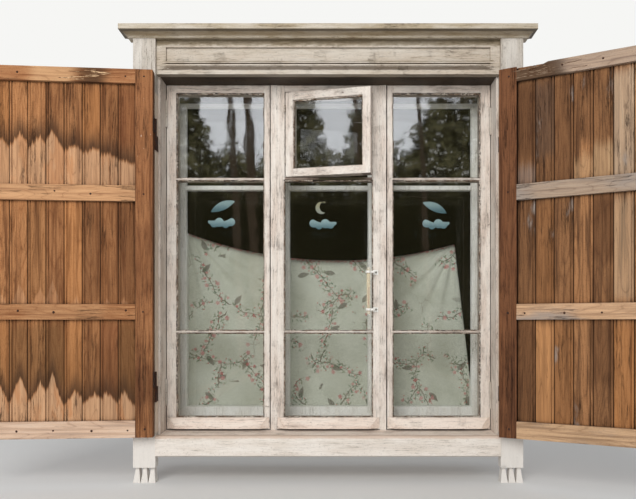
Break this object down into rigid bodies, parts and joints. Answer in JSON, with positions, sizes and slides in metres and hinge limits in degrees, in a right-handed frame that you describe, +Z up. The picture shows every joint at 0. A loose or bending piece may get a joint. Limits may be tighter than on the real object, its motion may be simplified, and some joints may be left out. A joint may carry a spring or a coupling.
{
  "type": "three-light timber house window with vent light and board shutters",
  "caption": "Weathered white timber window: moulded surround, outward casements, fixed centre light with a vent above, inner window, hung cloth and plank shutters.",
  "frame": {"origin": "middle of the underside of the box frame, in the plane of the wall's outer face", "axes": "+X to the right seen from outside, +Y inwards through the wall, +Z up"},
  "size_m": [2.6298, 0.6821, 1.7875],
  "materials": {
    "surround_paint": "weathered off-white paint",
    "frame_paint": "weathered warm white paint, dark in its cracks",
    "sash_paint": "weathered warm white paint, chipped along the glass",
    "worn_sill_timber": "paint worn to pinkish bare timber",
    "inner_paint": "grey green white paint",
    "window_glass": "old drawn glass",
    "painted_hinge": "brush painted with the timber",
    "shutter_iron": "dark rust",
    "left_shutter_pine": "warm brown weathered pine, water stained",
    "right_shutter_pine": "dark brown weathered pine",
    "shutter_rail_pine": "sun bleached pine",
    "thermometer_cream": "cream scale behind clear tube",
    "thermometer_white": "white plastic",
    "bright_steel": "dull steel",
    "printed_cloth": "grey green cotton with a small printed pattern"
  },
  "bodies": {
    "window_frame": {"cornice": "surround_paint", "frieze_board": "surround_paint", "frieze_moulding": "surround_paint", "casing_left": "surround_paint", "casing_right": "surround_paint", "apron_board": "surround_paint", "sill_board": "worn_sill_timber", "frame_head": "frame_paint", "frame_bottom_rail": "frame_paint", "frame_jamb_left": "frame_paint", "frame_jamb_right": "frame_paint", "mullion_left": "frame_paint", "mullion_right": "frame_paint", "centre_stiles": "sash_paint", "centre_rails": "sash_paint", "centre_glazing_bar": "sash_paint", "centre_panes": "window_glass", "centre_weatherboard": "worn_sill_timber", "vent_hinge_pins": "painted_hinge", "casement_hinge_pins": "painted_hinge", "shutter_hinge_pins": "shutter_iron", "inner_left_light": "inner_paint", "inner_centre_light": "inner_paint", "inner_right_light": "inner_paint", "inner_panes": "window_glass", "thermometer_tube": "thermometer_cream", "thermometer_brackets": "thermometer_white", "thermometer_screws": "bright_steel", "cloth": "printed_cloth", "cloth_nails": "bright_steel"},
    "left_casement": {"left_casement_stiles": "sash_paint", "left_casement_rails": "sash_paint", "left_casement_glazing_bars": "sash_paint", "left_casement_panes": "window_glass", "left_casement_weatherboard": "worn_sill_timber", "left_casement_hinge_leaves": "painted_hinge", "left_casement_bolt_guide": "painted_hinge", "left_casement_bent_nail": "painted_hinge"},
    "right_casement": {"right_casement_stiles": "sash_paint", "right_casement_rails": "sash_paint", "right_casement_glazing_bars": "sash_paint", "right_casement_panes": "window_glass", "right_casement_weatherboard": "worn_sill_timber", "right_casement_hinge_leaves": "painted_hinge", "right_casement_bolt_guide": "painted_hinge"},
    "left_bolt": {"left_casement_bolt": "painted_hinge"},
    "right_bolt": {"right_casement_bolt": "painted_hinge"},
    "vent": {"vent_stiles": "sash_paint", "vent_rails": "sash_paint", "vent_pane": "window_glass", "vent_hinge_leaves": "painted_hinge"},
    "vent_button": {"vent_turn_button": "sash_paint"},
    "left_shutter": {"left_shutter_stiles": "left_shutter_pine", "left_shutter_rails": "shutter_rail_pine", "left_shutter_boards": "left_shutter_pine", "left_shutter_hinge_leaves": "shutter_iron"},
    "right_shutter": {"right_shutter_stiles": "right_shutter_pine", "right_shutter_rails": "shutter_rail_pine", "right_shutter_boards": "right_shutter_pine", "right_shutter_hinge_leaves": "shutter_iron"}
  },
  "joints": [
    {"name": "left_shutter_hinge", "type": "hinge", "parent": "window_frame", "child": "left_shutter", "pos_m": [-0.678, -0.046, 0.775], "axis": [0, 0, -1], "range_deg": [-175.5, 4.5]},
    {"name": "right_shutter_hinge", "type": "hinge", "parent": "window_frame", "child": "right_shutter", "pos_m": [0.678, -0.046, 0.775], "axis": [0, 0, 1], "range_deg": [-153.5, 26.5]},
    {"name": "left_casement_hinge", "type": "hinge", "parent": "window_frame", "child": "left_casement", "pos_m": [-0.67, 0.0795, 0.78], "axis": [0, 0, -1], "range_deg": [0, 60]},
    {"name": "right_casement_hinge", "type": "hinge", "parent": "window_frame", "child": "right_casement", "pos_m": [0.67, 0.0795, 0.78], "axis": [0, 0, 1], "range_deg": [0, 60]},
    {"name": "vent_hinge", "type": "hinge", "parent": "window_frame", "child": "vent", "pos_m": [-0.17975, 0.081, 1.28665], "axis": [0, 0, -1], "range_deg": [-12, 78]},
    {"name": "left_bolt_slide", "type": "slide", "parent": "left_casement", "child": "left_bolt", "axis": [0, 0, 1], "range_m": [0, 0.014]},
    {"name": "right_bolt_slide", "type": "slide", "parent": "right_casement", "child": "right_bolt", "axis": [0, 0, 1], "range_m": [0, 0.014]},
    {"name": "vent_button_turn", "type": "hinge", "parent": "vent", "child": "vent_button", "pos_m": [0.16096, 0.05704, 1.28665], "axis": [-0.2079, -0.9781, 0], "range_deg": [0, 90]}
  ]
}
